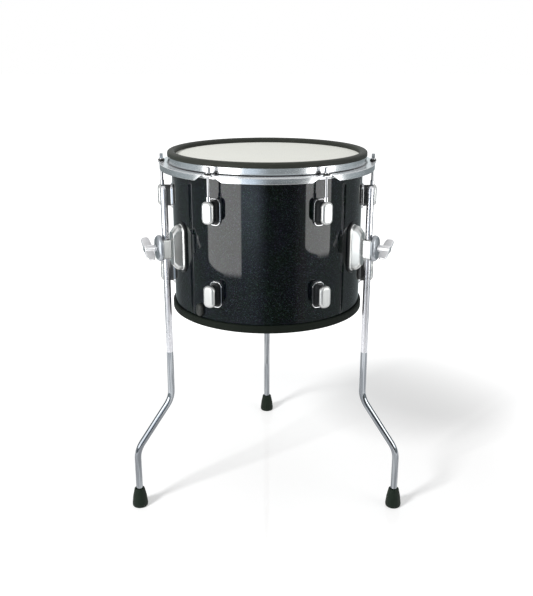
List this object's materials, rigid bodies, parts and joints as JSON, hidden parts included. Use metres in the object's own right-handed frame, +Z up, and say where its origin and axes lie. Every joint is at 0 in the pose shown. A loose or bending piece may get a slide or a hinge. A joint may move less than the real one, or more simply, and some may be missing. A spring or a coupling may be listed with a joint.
{
  "type": "floor tom drum",
  "caption": "hybrid floor tom with a mesh head, a chrome hoop under a rubber rim cover, lugs and tension rods, on sliding legs held by wing-bolt brackets",
  "frame": {"origin": "on the floor, under the centre of the bounding box", "axes": "+Z up along the drum, -Y towards the front of the picture, +X to its right"},
  "size_m": [0.52, 0.4982, 0.6681],
  "materials": {
    "black_sparkle": "glossy black sparkle wrap on a wooden shell",
    "chrome": "polished chrome on steel",
    "satin_chrome": "satin chrome on die-cast metal",
    "rubber": "matte",
    "black_plastic": "fine matte",
    "mesh_fabric": "fine woven mesh, taut",
    "aluminium": "plain",
    "brass": "plain",
    "foam": "open-cell foam"
  },
  "bodies": {
    "drum": {"shell": "black_sparkle", "bottom_ring": "rubber", "mesh_head": "mesh_fabric", "flesh_ring": "aluminium", "hoop": "chrome", "rim_cover": "rubber", "jack_housing": "black_plastic", "jack_socket": "black_plastic", "crossbar": "aluminium", "sensor_plate": "aluminium", "sensor_cone": "foam", "swivel_nut_1": "chrome", "upper_lug_1": "satin_chrome", "lower_lug_1": "satin_chrome", "swivel_nut_2": "chrome", "upper_lug_2": "satin_chrome", "lower_lug_2": "satin_chrome", "swivel_nut_3": "chrome", "upper_lug_3": "satin_chrome", "lower_lug_3": "satin_chrome", "swivel_nut_4": "chrome", "upper_lug_4": "satin_chrome", "lower_lug_4": "satin_chrome", "swivel_nut_5": "chrome", "upper_lug_5": "satin_chrome", "lower_lug_5": "satin_chrome", "swivel_nut_6": "chrome", "upper_lug_6": "satin_chrome", "lower_lug_6": "satin_chrome", "leg_bracket_right": "satin_chrome", "clamp_disc_right": "satin_chrome", "leg_bracket_left": "satin_chrome", "clamp_disc_left": "satin_chrome", "leg_bracket_back": "satin_chrome", "clamp_disc_back": "satin_chrome"},
    "leg_right": {"leg_right": "chrome", "rubber_foot_right": "rubber"},
    "pad_right": {"pressure_pad_right": "brass"},
    "wing_bolt_right": {"wing_bolt_right": "chrome"},
    "leg_left": {"leg_left": "chrome", "rubber_foot_left": "rubber"},
    "pad_left": {"pressure_pad_left": "brass"},
    "wing_bolt_left": {"wing_bolt_left": "chrome"},
    "leg_back": {"leg_back": "chrome", "rubber_foot_back": "rubber"},
    "pad_back": {"pressure_pad_back": "brass"},
    "wing_bolt_back": {"wing_bolt_back": "chrome"},
    "washer_1": {"rod_washer_1": "black_plastic"},
    "tension_rod_1": {"tension_rod_1": "chrome"},
    "washer_2": {"rod_washer_2": "black_plastic"},
    "tension_rod_2": {"tension_rod_2": "chrome"},
    "washer_3": {"rod_washer_3": "black_plastic"},
    "tension_rod_3": {"tension_rod_3": "chrome"},
    "washer_4": {"rod_washer_4": "black_plastic"},
    "tension_rod_4": {"tension_rod_4": "chrome"},
    "washer_5": {"rod_washer_5": "black_plastic"},
    "tension_rod_5": {"tension_rod_5": "chrome"},
    "washer_6": {"rod_washer_6": "black_plastic"},
    "tension_rod_6": {"tension_rod_6": "chrome"}
  },
  "joints": [
    {"name": "leg_slide_right", "type": "slide", "parent": "drum", "child": "leg_right", "axis": [0, 0, 1], "range_m": [-0.08, 0.22]},
    {"name": "pad_slide_right", "type": "slide", "parent": "drum", "child": "pad_right", "axis": [0.866, -0.5, 0], "range_m": [0, 0.0026]},
    {"name": "wing_turn_right", "type": "hinge", "parent": "pad_right", "child": "wing_bolt_right", "pos_m": [0.18143, -0.1536, 0.5069], "axis": [0.866, -0.5, 0], "range_deg": [0, 720]},
    {"name": "leg_slide_left", "type": "slide", "parent": "drum", "child": "leg_left", "axis": [0, 0, 1], "range_m": [-0.08, 0.22]},
    {"name": "pad_slide_left", "type": "slide", "parent": "drum", "child": "pad_left", "axis": [-0.866, -0.5, 0], "range_m": [0, 0.0026]},
    {"name": "wing_turn_left", "type": "hinge", "parent": "pad_left", "child": "wing_bolt_left", "pos_m": [-0.18143, -0.1536, 0.5069], "axis": [-0.866, -0.5, 0], "range_deg": [0, 720]},
    {"name": "leg_slide_back", "type": "slide", "parent": "drum", "child": "leg_back", "axis": [0, 0, 1], "range_m": [-0.08, 0.22]},
    {"name": "pad_slide_back", "type": "slide", "parent": "drum", "child": "pad_back", "axis": [0, 1, 0], "range_m": [0, 0.0026]},
    {"name": "wing_turn_back", "type": "hinge", "parent": "pad_back", "child": "wing_bolt_back", "pos_m": [0, 0.16065, 0.5069], "axis": [0, 1, 0], "range_deg": [0, 720]},
    {"name": "rod_rise_1", "type": "slide", "parent": "drum", "child": "washer_1", "axis": [0, 0, 1], "range_m": [0, 0.0211]},
    {"name": "rod_turn_1", "type": "hinge", "parent": "washer_1", "child": "tension_rod_1", "pos_m": [0.09875, -0.21989, 0.655], "axis": [0, 0, 1], "range_deg": [0, 7200]},
    {"name": "rod_rise_2", "type": "slide", "parent": "drum", "child": "washer_2", "axis": [0, 0, 1], "range_m": [0, 0.0211]},
    {"name": "rod_turn_2", "type": "hinge", "parent": "washer_2", "child": "tension_rod_2", "pos_m": [0.1975, -0.04885, 0.655], "axis": [0, 0, 1], "range_deg": [0, 7200]},
    {"name": "rod_rise_3", "type": "slide", "parent": "drum", "child": "washer_3", "axis": [0, 0, 1], "range_m": [0, 0.0211]},
    {"name": "rod_turn_3", "type": "hinge", "parent": "washer_3", "child": "tension_rod_3", "pos_m": [0.09875, 0.12219, 0.655], "axis": [0, 0, 1], "range_deg": [0, 7200]},
    {"name": "rod_rise_4", "type": "slide", "parent": "drum", "child": "washer_4", "axis": [0, 0, 1], "range_m": [0, 0.0211]},
    {"name": "rod_turn_4", "type": "hinge", "parent": "washer_4", "child": "tension_rod_4", "pos_m": [-0.09875, 0.12219, 0.655], "axis": [0, 0, 1], "range_deg": [0, 7200]},
    {"name": "rod_rise_5", "type": "slide", "parent": "drum", "child": "washer_5", "axis": [0, 0, 1], "range_m": [0, 0.0211]},
    {"name": "rod_turn_5", "type": "hinge", "parent": "washer_5", "child": "tension_rod_5", "pos_m": [-0.1975, -0.04885, 0.655], "axis": [0, 0, 1], "range_deg": [0, 7200]},
    {"name": "rod_rise_6", "type": "slide", "parent": "drum", "child": "washer_6", "axis": [0, 0, 1], "range_m": [0, 0.0211]},
    {"name": "rod_turn_6", "type": "hinge", "parent": "washer_6", "child": "tension_rod_6", "pos_m": [-0.09875, -0.21989, 0.655], "axis": [0, 0, 1], "range_deg": [0, 7200]}
  ],
  "couplings": [
    {"joint": "pad_slide_right", "follows": "wing_turn_right", "m_per_rad": 0.00019894},
    {"joint": "pad_slide_left", "follows": "wing_turn_left", "m_per_rad": 0.00019894},
    {"joint": "pad_slide_back", "follows": "wing_turn_back", "m_per_rad": 0.00019894},
    {"joint": "rod_turn_1", "follows": "rod_rise_1", "rad_per_m": 5936.8},
    {"joint": "rod_turn_2", "follows": "rod_rise_2", "rad_per_m": 5936.8},
    {"joint": "rod_turn_3", "follows": "rod_rise_3", "rad_per_m": 5936.8},
    {"joint": "rod_turn_4", "follows": "rod_rise_4", "rad_per_m": 5936.8},
    {"joint": "rod_turn_5", "follows": "rod_rise_5", "rad_per_m": 5936.8},
    {"joint": "rod_turn_6", "follows": "rod_rise_6", "rad_per_m": 5936.8}
  ]
}
